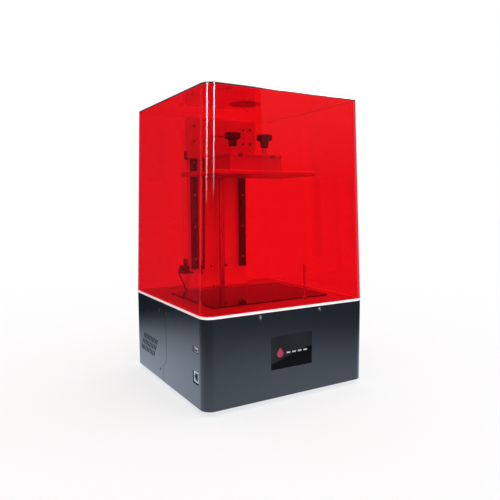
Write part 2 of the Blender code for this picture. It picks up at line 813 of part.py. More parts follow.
def make_carriage():
    plate = bmesh.new()
    outline = [
        (-PLATE_HALF, CARRIAGE_LOW),
        (-50.0, CARRIAGE_LOW),
        (-50.0, 362.0),
        (50.0, 362.0),
        (50.0, CARRIAGE_LOW),
        (PLATE_HALF, CARRIAGE_LOW),
        (PLATE_HALF, CARRIAGE_HIGH),
        (-PLATE_HALF, CARRIAGE_HIGH),
    ]
    add_prism(plate, outline, PLATE_FRONT, PLATE_BACK, "Y")
    sheet = piece("carriage_plate", plate, ALUMINIUM)
    window = bmesh.new()
    add_box(window, -20.3, 20.3, 70.0, 80.0, 391.0, 432.0)
    cut(sheet, window)

    for side, hand in ((-1, "left"), (1, "right")):
        x = side * RAIL_X
        outline = [
            (x - 13.5, 78.0),
            (x + 13.5, 78.0),
            (x + 13.5, 92.5),
            (x + 6.4, 92.5),
            (x + 6.4, 87.6),
            (x - 6.4, 87.6),
            (x - 6.4, 92.5),
            (x - 13.5, 92.5),
        ]
        for low, level in ((391.5, "lower"), (427.8, "upper")):
            block = bmesh.new()
            add_prism(block, outline, low, low + 34.7)
            piece("bearing_block_" + level + "_" + hand, block, STEEL)

    holder = bmesh.new()
    add_box(holder, -20.0, 20.0, 70.2, 95.4, 393.0, 425.0)
    nut_holder = piece("nut_block", holder, ALUMINIUM)
    bore = bmesh.new()
    add_turned(bore, [(10.8, 390.0), (10.8, 430.0)], (0.0, SCREW_Y), "Z", 24)
    cut(nut_holder, bore)

    nut = bmesh.new()
    steps = 24
    inner = circle(0.0, SCREW_Y, SCREW_RADIUS + GAP, steps)
    barrel = circle(0.0, SCREW_Y, 10.5, steps)
    collar = [(x * 16.0 / 10.5, y) for x, y in barrel]
    low, step_up, high = 391.5, 425.3, 430.0
    rows = [(inner, low), (barrel, low), (barrel, step_up), (collar, step_up), (collar, high), (inner, high)]
    add_skin(nut, [lift(outline, height) for outline, height in rows], ring=True)
    piece("ball_nut", nut, STEEL)

    flag = bmesh.new()
    outline = [
        (-74.0, 387.0),
        (-67.0, 387.0),
        (-67.0, 391.0),
        (-64.0, 391.0),
        (-64.0, 402.0),
        (-74.0, 402.0),
    ]
    add_prism(flag, outline, 78.0, 80.0, "Y")
    piece("limit_flag", flag, BLACK)

    make_arm()


def make_arm():
    beam = bmesh.new()
    add_box(beam, -ARM_HALF, ARM_HALF, ARM_FRONT, PLATE_FRONT - GAP, ARM_LOW, ARM_HIGH)
    arm = piece("cantilever_arm", beam, DARK_ALUMINIUM)
    under = bmesh.new()
    add_box(under, -60.0, 60.0, -60.0, BRACKET_BACK + GAP, 350.0, TONGUE_LOW)
    cut(arm, under)
    core = bmesh.new()
    add_box(core, -ARM_HALF + 5.0, ARM_HALF - 5.0, 20.0, 80.0, 350.0, TONGUE_LOW)
    cut(arm, core)
    slots = bmesh.new()
    for side in (-1, 1):
        x = side * KNOB_X
        add_box(slots, x - 4.5, x + 4.5, -60.0, KNOB_Y + 4.6, 380.0, 395.0)
    cut(arm, slots)


# Platform

def make_platform():
    plate = bmesh.new()
    loops = []
    sections = [(1.0, BUILD_LOW), (0.0, BUILD_LOW + 1.0), (0.0, BUILD_HIGH - 0.5), (0.5, BUILD_HIGH)]
    for inset, height in sections:
        edge = BUILD_HALF - inset
        outline = rounded(-edge, edge, BUILD_FRONT + inset, BUILD_BACK - inset, 3.0 - inset, 3)
        loops.append(lift(outline, height))
    add_skin(plate, loops)
    piece("build_plate", plate, ALUMINIUM)

    box = bmesh.new()
    add_box(box, -ARM_HALF, ARM_HALF, ARM_FRONT, BRACKET_BACK, BUILD_HIGH + GAP, TONGUE_LOW - GAP)
    bracket = piece("platform_bracket", box, DARK_ALUMINIUM)
    hollow = bmesh.new()
    add_box(hollow, -ARM_HALF + 5.0, ARM_HALF - 5.0, ARM_FRONT + 5.0, 50.0, 350.0, 378.0)
    cut(bracket, hollow)
    holes = bmesh.new()
    for side in (-1, 1):
        add_turned(holes, [(4.3, 370.0), (4.3, 390.0)], (side * KNOB_X, KNOB_Y), "Z", 16)
    cut(bracket, holes)

    for name, side in (("knob_left", -1), ("knob_right", 1)):
        make_knob(name, side * KNOB_X)


def knob_loop(x, radius, depth, height):
    # A round outline with lobes; depth 0 gives a plain circle.
    points = []
    steps = 6 * KNOB_LOBES
    for step in range(steps):
        angle = 2 * math.pi * step / steps
        reach = radius - depth * (0.5 - 0.5 * math.cos(KNOB_LOBES * angle))
        points.append((x + reach * math.cos(angle), KNOB_Y + reach * math.sin(angle)))
    return lift(points, height)


def make_knob(name, x):
    mesh = bmesh.new()
    sections = [
        (6.0, 0.0, KNOB_HIGH - 23.0),
        (7.2, 0.6, KNOB_HIGH - 21.5),
        (7.8, 0.8, KNOB_HIGH - 12.0),
        (13.0, 2.2, KNOB_HIGH - 10.2),
        (13.9, 2.6, KNOB_HIGH - 8.8),
        (13.9, 2.6, KNOB_HIGH - 2.0),
        (12.4, 2.2, KNOB_HIGH),
    ]
    add_skin(mesh, [knob_loop(x, *section) for section in sections])
    knob = piece(name, mesh, BLACK, (x, KNOB_Y, ARM_HIGH))
    stud = bmesh.new()
    profile = [(4.0, 379.0), (4.0, 390.3), (8.5, 390.3), (8.5, 393.3), (4.0, 393.3), (4.0, 406.0)]
    add_turned(stud, profile, (x, KNOB_Y), "Z", 16)
    join(knob, stud)


# Limit sensor and its cable

def make_sensor():
    bracket = bmesh.new()
    outline = [
        (-84.0, 179.7),
        (-63.3, 179.7),
        (-63.3, 203.0),
        (-65.3, 203.0),
        (-65.3, 181.7),
        (-84.0, 181.7),
    ]
    add_prism(bracket, outline, 72.0, 112.0, "Y")
    tab = piece("sensor_bracket", bracket, BLACK)
    relief = bmesh.new()
    add_box(relief, -70.0, -60.0, 70.0, 97.0, 181.7, 205.0)
    cut(tab, relief)
    corner = bmesh.new()
    add_box(corner, -90.0, -70.0, 90.0, 115.0, 175.0, 185.0)
    cut(tab, corner)

    sensor = bmesh.new()
    outline = [
        (72.0, 182.0),
        (87.0, 182.0),
        (87.0, 194.0),
        (82.5, 194.0),
        (82.5, 186.0),
        (76.5, 186.0),
        (76.5, 194.0),
        (72.0, 194.0),
    ]
    add_prism(sensor, outline, -84.0, -PLATE_HALF - GAP, "X")
    piece("limit_sensor", sensor, BLACK)

    route = [
        (-84.4, 79.5, 189.0),
        (-87.4, 79.5, 187.6),
        (-88.4, 79.6, 183.0),
        (-87.0, 79.9, 177.5),
        (-83.4, 80.8, 170.0),
        (-79.0, 82.0, 161.0),
        (-75.0, 83.2, 153.0),
        (-73.0, 84.2, 143.0),
        (-70.0, 92.0, 130.0),
        (-56.0, 108.0, 120.0),
        (-30.0, 114.0, 115.0),
        (0.0, 115.0, 112.0),
        (30.0, 114.0, 110.0),
        (56.0, 108.0, 104.0),
        (68.0, 92.0, 86.0),
        (73.0, 72.0, 62.0),
        (77.0, 54.0, 42.0),
        (77.0, 46.0, 30.4),
    ]
    data = bpy.data.curves.new("sensor_cable", "CURVE")
    data.dimensions = "3D"
    data.bevel_depth = 1.2 * MM
    data.bevel_resolution = 2
    data.use_fill_caps = True
    data.materials.append(BLACK)
    points = smooth_route(route, 3)
    spline = data.splines.new("POLY")
    spline.points.add(len(points) - 1)
    for target, point in zip(spline.points, points):
        target.co = (*(point * MM), 1.0)
    cable = bpy.data.objects.new("sensor_cable", data)
    bpy.context.scene.collection.objects.link(cable)


def smooth_route(route, steps):
    # Points on a curve that passes through every point of the route (Catmull-Rom).
    knots = [Vector(point) for point in route]
    ends = [knots[0] * 2 - knots[1]] + knots + [knots[-1] * 2 - knots[-2]]
    points = []
    for before, start, stop, after in zip(ends, ends[1:], ends[2:], ends[3:]):
        for step in range(steps):
            t = step / steps
            linear = (stop - before) * t
            square = (before * 2 - start * 5 + stop * 4 - after) * t * t
            cube = (start * 3 - before - stop * 3 + after) * t * t * t
            points.append((start * 2 + linear + square + cube) / 2)
    points.append(knots[-1])
    return points


make_housing()
make_base_frame()
make_lid()
make_band()
make_deck()
make_exposure_unit()
make_electronics()
make_rear_fittings()
make_column()
make_drive()
make_carriage()
make_platform()
make_sensor()
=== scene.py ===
import json
import math

import bpy
import bmesh
from mathutils import Matrix, Vector

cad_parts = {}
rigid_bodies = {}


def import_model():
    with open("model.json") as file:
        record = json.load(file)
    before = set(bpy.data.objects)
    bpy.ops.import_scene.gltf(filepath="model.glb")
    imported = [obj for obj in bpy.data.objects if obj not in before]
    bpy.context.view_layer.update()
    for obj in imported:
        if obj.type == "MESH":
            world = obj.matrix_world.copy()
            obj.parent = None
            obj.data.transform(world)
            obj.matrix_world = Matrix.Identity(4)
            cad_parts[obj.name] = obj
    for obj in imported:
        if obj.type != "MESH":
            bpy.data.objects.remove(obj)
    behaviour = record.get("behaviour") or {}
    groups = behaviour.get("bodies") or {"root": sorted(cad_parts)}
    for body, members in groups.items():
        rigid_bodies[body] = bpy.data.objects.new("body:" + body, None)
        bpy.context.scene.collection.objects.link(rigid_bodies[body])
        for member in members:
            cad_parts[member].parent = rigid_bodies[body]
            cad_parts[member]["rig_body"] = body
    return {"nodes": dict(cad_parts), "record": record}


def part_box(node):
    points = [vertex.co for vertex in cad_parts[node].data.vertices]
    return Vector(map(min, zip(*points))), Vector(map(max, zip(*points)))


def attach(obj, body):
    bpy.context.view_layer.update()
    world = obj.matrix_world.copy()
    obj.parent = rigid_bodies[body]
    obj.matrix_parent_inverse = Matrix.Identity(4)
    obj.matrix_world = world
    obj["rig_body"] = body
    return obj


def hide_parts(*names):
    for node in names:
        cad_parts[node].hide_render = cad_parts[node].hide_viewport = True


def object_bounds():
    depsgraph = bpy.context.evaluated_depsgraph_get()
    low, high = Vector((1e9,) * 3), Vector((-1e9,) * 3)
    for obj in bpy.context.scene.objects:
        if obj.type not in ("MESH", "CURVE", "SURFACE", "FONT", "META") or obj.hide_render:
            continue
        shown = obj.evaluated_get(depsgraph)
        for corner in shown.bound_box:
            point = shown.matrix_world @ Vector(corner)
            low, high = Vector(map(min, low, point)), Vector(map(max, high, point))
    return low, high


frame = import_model()
cadLow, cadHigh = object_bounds()
nodes = frame["nodes"]
mm = 0.001


# finishes

def newFinish(name, colour, rough, metal=0.0):
    finish = bpy.data.materials.new(name)
    finish.use_nodes = True
    shader = finish.node_tree.nodes["Principled BSDF"]
    shader.inputs["Base Color"].default_value = (*colour, 1.0)
    shader.inputs["Roughness"].default_value = rough
    shader.inputs["Metallic"].default_value = metal
    return finish


def addNode(finish, kind, inputs=None, **settings):
    node = finish.node_tree.nodes.new(kind)
    for key, value in settings.items():
        setattr(node, key, value)
    for key, value in (inputs or {}).items():
        node.inputs[key].default_value = value
    return node


def join(finish, output, socket):
    finish.node_tree.links.new(output, socket)


def grain(finish, size, stretch=(1.0, 1.0, 1.0), detail=3.0):
    # size is how wide a fleck is, in metres
    place = addNode(finish, "ShaderNodeTexCoord")
    mapping = addNode(finish, "ShaderNodeMapping", {"Scale": stretch})
    texture = addNode(finish, "ShaderNodeTexNoise", {"Scale": 1.0 / size, "Detail": detail})
    join(finish, place.outputs["Object"], mapping.inputs["Vector"])
    join(finish, mapping.outputs["Vector"], texture.inputs["Vector"])
    return texture.outputs["Fac"]


def between(finish, factor, low, high):
    limits = {"From Min": 0.3, "From Max": 0.7, "To Min": low, "To Max": high}
    ranged = addNode(finish, "ShaderNodeMapRange", limits)
    join(finish, factor, ranged.inputs["Value"])
    return ranged.outputs["Result"]


def tint(finish, factor, dark, light):
    shader = finish.node_tree.nodes["Principled BSDF"]
    ramp = addNode(finish, "ShaderNodeValToRGB")
    ramp.color_ramp.elements[0].position = 0.3
    ramp.color_ramp.elements[1].position = 0.7
    ramp.color_ramp.elements[0].color = (*dark, 1.0)
    ramp.color_ramp.elements[1].color = (*light, 1.0)
    join(finish, factor, ramp.inputs["Fac"])
    join(finish, ramp.outputs["Color"], shader.inputs["Base Color"])


def roughen(finish, factor, low, high):
    shader = finish.node_tree.nodes["Principled BSDF"]
    join(finish, between(finish, factor, low, high), shader.inputs["Roughness"])


def emboss(finish, factor, height):
    shader = finish.node_tree.nodes["Principled BSDF"]
    bump = addNode(finish, "ShaderNodeBump", {"Strength": 1.0, "Distance": height})
    join(finish, factor, bump.inputs["Height"])
    join(finish, bump.outputs["Normal"], shader.inputs["Normal"])


def scaled(colour, amount):
    return tuple(part * amount for part in colour)


def surface(name, colour, rough, metal, fleck, vary, relief, stretch=(1, 1, 1)):
    # A coat or cast finish: flecked colour, uneven gloss and a fine relief; fleck and relief are in metres
    finish = newFinish(name, colour, rough, metal)
    tint(finish, grain(finish, fleck * 6, stretch), scaled(colour, 1 - vary), scaled(colour, 1 + vary))
    roughen(finish, grain(finish, fleck * 3, stretch), rough * 0.85, rough * 1.15)
    emboss(finish, grain(finish, fleck, stretch), relief)
    return finish


darkPaint = surface("darkPaint", (0.0095, 0.0135, 0.0185), 0.2, 0.0, 0.0012, 0.03, 0.0000006)
zincSteel = surface("zincSteel", (0.5, 0.51, 0.53), 0.4, 1.0, 0.004, 0.14, 0.00001)
paleRubber = surface("paleRubber", (0.8, 0.8, 0.81), 0.65, 0.0, 0.0012, 0.04, 0.00004)
# The band is white; the pink in its colour is painted reflection of the red cover.
bandPaintedPink = surface("bandPaintedPink", (0.86, 0.74, 0.76), 0.38, 0.0, 0.003, 0.02, 0.00001)
deckCoat = surface("deckCoat", (0.34, 0.34, 0.35), 0.4, 0.0, 0.0009, 0.06, 0.000008)
aluminium = surface("aluminium", (0.42, 0.425, 0.435), 0.36, 1.0, 0.0006, 0.06, 0.000004, (0.08, 1, 1))
columnPlate = surface("columnPlate", (0.8, 0.8, 0.81), 0.5, 0.0, 0.0006, 0.03, 0.000004, (1, 1, 0.06))
# The rails are polished steel; their near-black colour is painted dark reflection.
railsPaintedDark = surface("railsPaintedDark", (0.06, 0.06, 0.065), 0.28, 1.0, 0.0006, 0.1, 0.000006, (1, 1, 0.05))
steel = surface("steel", (0.56, 0.57, 0.59), 0.22, 1.0, 0.0008, 0.08, 0.000004, (1, 1, 0.3))
blackPlastic = surface("blackPlastic", (0.014, 0.014, 0.016), 0.38, 0.0, 0.0006, 0.12, 0.00003)
cableJacket = surface("cableJacket", (0.012, 0.012, 0.013), 0.5, 0.0, 0.001, 0.1, 0.00003)
carriageCoat = surface("carriageCoat", (0.42, 0.42, 0.43), 0.4, 0.0, 0.0009, 0.05, 0.000005)
armCoat = surface("armCoat", (0.36, 0.36, 0.37), 0.38, 0.0, 0.0009, 0.05, 0.000005)
circuit = surface("circuit", (0.012, 0.12, 0.04), 0.42, 0.0, 0.0015, 0.3, 0.00003)
contactGold = surface("contactGold", (0.75, 0.55, 0.22), 0.25, 1.0, 0.0008, 0.08, 0.000004)
screwBlack = surface("screwBlack", (0.12, 0.12, 0.125), 0.32, 0.9, 0.0008, 0.1, 0.000006)
screwBright = surface("screwBright", (0.4, 0.4, 0.41), 0.3, 1.0, 0.0008, 0.06, 0.000004)


def glossBlack(name, colour):
    # Printed black glass: a deep even black with a faint haze of fingerprints in the gloss
    finish = newFinish(name, colour, 0.04)
    tint(finish, grain(finish, 0.03), scaled(colour, 0.8), scaled(colour, 1.2))
    roughen(finish, grain(finish, 0.02, detail=6.0), 0.03, 0.075)
    return finish


blackGlass = glossBlack("blackGlass", (0.006, 0.006, 0.007))
screenBlack = glossBlack("screenBlack", (0.0016, 0.0016, 0.0018))
screenBlack.node_tree.nodes["Principled BSDF"].inputs["Specular IOR Level"].default_value = 0.05
# A paler black than the screen: it paints a sheen of reflected light into the glass colour.
screenSheen = glossBlack("screenSheen", (0.0135, 0.0145, 0.016))
screenSheen.node_tree.nodes["Principled BSDF"].inputs["Specular IOR Level"].default_value = 0.05


tintedAcrylic = {
    "colour": (0.93, 0.05, 0.078),  # what one wall lets through
    "lampColour": (0.964, 0.224, 0.28),  # the same for one face of a wall
    "bend": 1.49,
}


def acrylicFinish():
    finish = newFinish("tintedAcrylic", tintedAcrylic["colour"], 0.0)
    tree = finish.node_tree
    shader = tree.nodes["Principled BSDF"]
    shader.inputs["Transmission Weight"].default_value = 1.0
    shader.inputs["IOR"].default_value = tintedAcrylic["bend"]
    clear = addNode(finish, "ShaderNodeBsdfTransparent", {"Color": (*tintedAcrylic["lampColour"], 1.0)})
    path = addNode(finish, "ShaderNodeLightPath")
    either = addNode(finish, "ShaderNodeMath", operation="MAXIMUM")
    mix = addNode(finish, "ShaderNodeMixShader")
    join(finish, path.outputs["Is Shadow Ray"], either.inputs[0])
    join(finish, path.outputs["Is Diffuse Ray"], either.inputs[1])
    join(finish, either.outputs[0], mix.inputs["Fac"])
    join(finish, shader.outputs["BSDF"], mix.inputs[1])
    join(finish, clear.outputs["BSDF"], mix.inputs[2])
    join(finish, mix.outputs["Shader"], tree.nodes["Material Output"].inputs["Surface"])
    smears = grain(finish, 0.05, (1, 1, 0.4), 5.0)
    roughen(finish, smears, 0.0, 0.012)
    return finish


acrylic = acrylicFinish()


# Emission paints light into these printed marks: they glow, though nothing lights them from behind.
def paintedGlowFinish(name, colour, strength):
    finish = newFinish(name, scaled(colour, 0.5), 0.3)
    shader = finish.node_tree.nodes["Principled BSDF"]
    shader.inputs["Emission Color"].default_value = (*colour, 1.0)
    shader.inputs["Emission Strength"].default_value = strength
    tint(finish, grain(finish, 0.002), scaled(colour, 0.45), scaled(colour, 0.55))
    return finish


# The screen is off; the glow in these marks is painted light.
markRedPaintedGlow = paintedGlowFinish("markRedPaintedGlow", (0.42, 0.012, 0.06), 0.35)
markPalePaintedGlow = paintedGlowFinish("markPalePaintedGlow", (0.55, 0.55, 0.58), 0.25)
print("finishes:", len(bpy.data.materials))


# drawing tools; drawings are in millimetres, +Z up

def outline(halfX, front, back, radius, cornerSteps=16, sideSteps=20):
    # Rounded rectangle with evenly spaced points along its sides too
    corners = [
        (halfX - radius, back - radius, 0),
        (radius - halfX, back - radius, 90),
        (radius - halfX, front + radius, 180),
        (halfX - radius, front + radius, 270),
    ]
    points = []
    for number, (centreX, centreY, start) in enumerate(corners):
        for step in range(cornerSteps + 1):
            angle = math.radians(start + 90 * step / cornerSteps)
            points.append(Vector((centreX + radius * math.cos(angle), centreY + radius * math.sin(angle))))
        nextX, nextY, nextStart = corners[(number + 1) % 4]
        turn = math.radians(nextStart)
        ahead = Vector((nextX + radius * math.cos(turn), nextY + radius * math.sin(turn)))
        here = points[-1]
        points += [here.lerp(ahead, step / sideSteps) for step in range(1, sideSteps)]
    return points


def circle(centre, radius, steps):
    turns = [2 * math.pi * step / steps for step in range(steps)]
    return [Vector(centre) + radius * Vector((math.cos(turn), math.sin(turn))) for turn in turns]


def raised(points, height):
    return [Vector((point.x, point.y, height)) for point in points]


def skin(mesh, loops, closed=False):
    rows = [[mesh.verts.new(point) for point in loop] for loop in loops]
    pairs = list(zip(rows, rows[1:]))
    if closed:
        pairs.append((rows[-1], rows[0]))
    for low, high in pairs:
        for here in range(len(low)):
            after = (here + 1) % len(low)
            mesh.faces.new((low[here], low[after], high[after], high[here]))
    if not closed:
        mesh.faces.new(rows[0])
        mesh.faces.new(rows[-1])
    return [vert for row in rows for vert in row]


def block(mesh, low, high, edge=0.0):
    # Box between two corners with its upright edges rounded
    centre = ((low[0] + high[0]) / 2, (low[1] + high[1]) / 2)
    flat = outline((high[0] - low[0]) / 2, low[1], high[1], max(edge, 0.05), 4, 2)
    loops = [raised([Vector((p.x + centre[0], p.y)) for p in flat], z) for z in (low[2], high[2])]
    return skin(mesh, loops)


def turned(mesh, profile, centre=(0.0, 0.0), steps=32):
    return skin(mesh, [raised(circle(centre, radius, steps), height) for radius, height in profile])


def aim(mesh, verts, place, axis):
    # Moves a drawing made round +Z at the origin to its place, facing along axis
    spin = Vector((0, 0, 1)).rotation_difference(Vector(axis)).to_matrix()
    bmesh.ops.rotate(mesh, verts=verts, cent=(0, 0, 0), matrix=spin)
    bmesh.ops.translate(mesh, verts=verts, vec=place)


def made(name, mesh, finish, body, replaced=(), crease=35):
    # Turns a drawing in millimetres into a piece that rides on a body
    bmesh.ops.recalc_face_normals(mesh, faces=mesh.faces[:])
    bmesh.ops.scale(mesh, verts=mesh.verts[:], vec=(mm, mm, mm))
    data = bpy.data.meshes.new(name)
    mesh.to_mesh(data)
    mesh.free()
    data.materials.append(finish)
    data.shade_smooth()
    data.set_sharp_from_angle(angle=math.radians(crease))
    piece = bpy.data.objects.new(name, data)
    bpy.context.scene.collection.objects.link(piece)
    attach(piece, body)
    even = piece.modifiers.new("evenFaces", "WEIGHTED_NORMAL")
    even.keep_sharp = True
    if replaced:
        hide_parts(*replaced)
    return piece


def bodyOf(node):
    return nodes[node]["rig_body"]


def refined(name, node, finish, edge):
    # The node's own shape with its edges broken by a small rounding
    mesh = bmesh.new()
    mesh.from_mesh(nodes[node].data)
    bmesh.ops.scale(mesh, verts=mesh.verts[:], vec=(1 / mm, 1 / mm, 1 / mm))
    bmesh.ops.remove_doubles(mesh, verts=mesh.verts[:], dist=0.001)
    sharp = [e for e in mesh.edges if len(e.link_faces) == 2 and e.calc_face_angle(0) > math.radians(40)]
    bmesh.ops.bevel(
        mesh, geom=sharp, offset=edge, segments=2, profile=0.5, affect="EDGES", clamp_overlap=True
    )
    return made(name, mesh, finish, bodyOf(node), (node,))


def dress(finish, slot, *names):
    # A carried-over node takes its finish as it is
    for node in names:
        data = nodes[node].data
        data.materials.clear()
        data.materials.append(finish)


# cover

low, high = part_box("lid_shell")
cover = {
    "wall": 3.0,
    "ceiling": 1.9,  # thinner than the sides, as the disc is let into it
    "lean": (10.2, 6.3, 1.5),  # how far the sides, front and back lean in at the top
    "corner": 17.0,
    "topRounding": 2.0,
    "innerRounding": 1.2,
    "rimRounding": 0.3,
    "pocketRadius": 27.8,
    "pocketDepth": 1.3,
    "pocketCentre": (-8.0, -22.0),
}


def coverOutline(height, inset):
    rise = (height - low.z / mm) / ((high.z - low.z) / mm)
    halfX = high.x / mm - cover["lean"][0] * rise - inset
    front = low.y / mm + cover["lean"][1] * rise + inset
    back = high.y / mm - cover["lean"][2] * rise - inset
    return raised(outline(halfX, front, back, cover["corner"] - inset, 20, 24), height)


def makeCover():
    mesh = bmesh.new()
    bottom, top, wall = low.z / mm, high.z / mm, cover["wall"]
    ceiling = top - cover["ceiling"]
    inner, outer = cover["innerRounding"], cover["topRounding"]
    quarter = [math.radians(15 * step) for step in range(7)]
    loops = []
    for turn in reversed(quarter):
        height, inset = ceiling - inner * (1 - math.sin(turn)), wall + inner * (1 - math.cos(turn))
        loops.append(coverOutline(height, inset))
    edge = cover["rimRounding"]
    loops += [coverOutline(bottom + edge, wall), coverOutline(bottom, wall - edge)]
    loops += [coverOutline(bottom, edge), coverOutline(bottom + edge, 0.0)]
    for turn in quarter:
        height, inset = top - outer * (1 - math.sin(turn)), outer * (1 - math.cos(turn))
        loops.append(coverOutline(height, inset))
    rim, radius, centre = loops[-1], cover["pocketRadius"], Vector(cover["pocketCentre"])
    for depth in (0.0, cover["pocketDepth"]):
        ring = [centre + (point.xy - centre).normalized() * radius for point in rim]
        loops.append(raised(ring, top - depth))
    skin(mesh, loops)
    return made("coverShell", mesh, acrylic, "lid", ("lid_shell",))


makeCover()
dress(blackPlastic, "black_plastic", "lid_disc")
print("cover: closed shell", cover["wall"], "mm thick")


# housing and everything that stays on it

housing = {
    "edge": 0.4,
    "sideScrews": [(26.0, 126.8), (-4.2, 126.3), (25.4, 26.2)],  # y and z
    "frontScrews": [(-56.4, 137.4), (55.9, 137.4)],  # x and z
    "screwSunk": 0.45,
    "screw": (2.6, 1.3, 1.5, 5.0),  # head radius, head depth, shank radius, length
}


def addScrew(mesh, place, axis, head, depth, shank, length):
    # Head with a round-bottomed drive recess; the drawing's +Z faces out along axis
    profile = [
        (head * 0.4, -depth * 0.6),
        (head * 0.45, -0.05),
        (head * 0.92, 0.0),
        (head, -0.15),
        (head if depth > 2 else shank, -depth),
        (shank, -depth - 0.01),
        (shank, -length),
    ]
    verts = turned(mesh, profile, steps=20)
    aim(mesh, verts, place, axis)


def makeHousingScrews():
    low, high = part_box("housing_front")
    mesh = bmesh.new()
    for side in (-1, 1):
        for y, z in housing["sideScrews"]:
            place = (side * (high.x / mm - housing["screwSunk"]), y, z)
            addScrew(mesh, place, (side, 0, 0), *housing["screw"])
    made("sideScrews", mesh, screwBlack, bodyOf("housing_front"))
    mesh = bmesh.new()
    for x, z in housing["frontScrews"]:
        place = (x, low.y / mm + housing["screwSunk"], z)
        addScrew(mesh, place, (0, -1, 0), *housing["screw"])
    made("frontScrews", mesh, screwBright, bodyOf("housing_front"))

refined("housingFront", "housing_front", darkPaint, housing["edge"])
refined("housingRear", "housing_rear", darkPaint, housing["edge"])
makeHousingScrews()
print("housing: two shells and", 2 * len(housing["sideScrews"]) + len(housing["frontScrews"]), "screws")


# screen: black glass with a painted sheen (a paler patch standing in for a reflection) let into its face,
# and printed marks that glow with painted light

screen = {
    # lower edge of the painted sheen, the paler part, across and up
    "sheen": [(0.0, 0.17), (0.2, 0.25), (0.45, 0.38), (0.7, 0.49), (1.0, 0.57)],
    "drop": (0.215, 0.46, 0.075),  # across, up and size of the red drop
    "bars": [(0.37, 0.022), (0.51, 0.022), (0.65, 0.022), (0.79, 0.022)],  # across and half height
    "barWidth": 0.09,
    # how far each layer starts and stops behind the face
    "glass": 0.12,
    "paintedSheenDepth": (0.10, 0.06),
    "print": (0.05, 0.02),
}


def plate(mesh, points, back, front):
    # Flat shape drawn in X and Z, between two depths
    return skin(mesh, [[Vector((x, y, z)) for x, z in points] for y in (back, front)])


def makeScreen():
    low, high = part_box("touch_glass")
    wide, tall = (high.x - low.x) / mm, (high.z - low.z) / mm
    face = low.y / mm

    def at(across, up):
        return low.x / mm + wide * across, low.z / mm + tall * up

    mesh = bmesh.new()
    corners = [at(0, 0), at(1, 0), at(1, 1), at(0, 1)]
    plate(mesh, corners, high.y / mm, face + screen["glass"])
    made("touchScreen", mesh, screenBlack, bodyOf("touch_glass"), ("touch_glass",))

    # Painted sheen: a paler layer over the upper part of the glass that stands in for a reflection.
    mesh = bmesh.new()
    edge = [at(*point) for point in screen["sheen"]]
    plate(mesh, edge + [at(1, 1), at(0, 1)], *[face + depth for depth in screen["paintedSheenDepth"]])
    made("paintedScreenSheen", mesh, screenSheen, bodyOf("touch_glass"))

    printed = [face + depth for depth in screen["print"]]
    mesh = bmesh.new()
    across, up, size = screen["drop"]
    middle = at(across, up)
    drop = []
    steps = 36
    for step in range(steps):
        turn = 2 * math.pi * step / steps
        reach = size * wide * (1.0 + 0.55 * max(0.0, math.sin(turn)) ** 6)  # drawn out to a tip
        drop.append((middle[0] + size * wide * math.cos(turn), middle[1] + reach * math.sin(turn)))
    plate(mesh, drop, *printed)
    made("screenDrop", mesh, markRedPaintedGlow, bodyOf("touch_glass"))

    mesh = bmesh.new()
    for across, half in screen["bars"]:
        after = across + screen["barWidth"]
        bar = [at(across, up - half), at(after, up - half), at(after, up + half), at(across, up + half)]
        plate(mesh, bar, *printed)
    made("screenBars", mesh, markPalePaintedGlow, bodyOf("touch_glass"))


makeScreen()
print("screen: glass and", 1 + len(screen["bars"]), "printed marks")


# sockets on the side

sockets = {
    "contacts": 8,
    "contactPitch": 1.02,
    "contactHalf": 0.22,
    "contactShift": -1.3,  # of the whole row, along the side
    "contactDepth": (3.0, 12.0),
    "contactRise": (12.6, 13.6),
    "tongue": (0.9, 5.4),  # half height and half width
    "tongueDepth": (1.2, 14.2),
    "tongueRise": 0.1,
    "tongueEdge": 0.3,
}


def makeSockets():
    low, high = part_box("ethernet_port")
    middle, half, face = (low.y + high.y) / 2 / mm, sockets["contactHalf"], low.x / mm
    near, far = sockets["contactDepth"]
    bottom, top = [low.z / mm + rise for rise in sockets["contactRise"]]
    mesh = bmesh.new()
    for number in range(sockets["contacts"]):
        step = (number - (sockets["contacts"] - 1) / 2) * sockets["contactPitch"]
        y = middle + sockets["contactShift"] + step
        block(mesh, (face + near, y - half, bottom), (face + far, y + half, top))
    made("networkContacts", mesh, contactGold, bodyOf("ethernet_port"))

    low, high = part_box("usb_port")
    y, z = (low.y + high.y) / 2 / mm, (low.z + high.z) / 2 / mm
    tall, wide = sockets["tongue"]
    near, far = sockets["tongueDepth"]
    face, bottom = low.x / mm, z + sockets["tongueRise"]
    mesh = bmesh.new()
    corners = (face + near, y - wide, bottom), (face + far, y + wide, bottom + 2 * tall)
    block(mesh, *corners, sockets["tongueEdge"])
    # The pale tongue glows with painted light from its glowing finish.
    made("usbTongue", mesh, markPalePaintedGlow, bodyOf("usb_port"))


makeSockets()
print("sockets: tongue and", sockets["contacts"], "contacts")


# deck, column and rails

deck = {
    "bezelWidth": 1.4,
    "bezelGap": 0.35,
    "bezelEdge": 0.3,
}


def makeBezel():
    # Thin raised frame round the display window
    low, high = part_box("lcd_glass")
    gap, width = deck["bezelGap"], deck["bezelWidth"]
    bottom, top = low.z / mm, high.z / mm
    mesh = bmesh.new()
    loops = []
    rows = [
        (gap, bottom),
        (gap, top - 0.2),
        (gap + deck["bezelEdge"], top),
        (gap + width, top),
        (gap + width, bottom),
    ]
    for out, height in rows:
        flat = outline(high.x / mm + out, low.y / mm - out, high.y / mm + out, 1.0 + out, 6, 8)
        loops.append(raised(flat, height))
    skin(mesh, loops, closed=True)
    return made("displayBezel", mesh, blackPlastic, bodyOf("lcd_glass"))


rails = {
    "pitch": 60.0,
    "first": 18.7,  # above the lower end
    "screw": (2.4, 2.2, 1.2, 2.6),  # head radius, head depth, shank radius, length
    "sunk": 1.2,  # how far the heads sit below the face
    "footScrews": [(-14.8, 187.5), (14.8, 187.5)],  # x and z
    "footScrew": (2.4, 2.3, 1.5, 2.4),
    "footProud": 2.6,
}


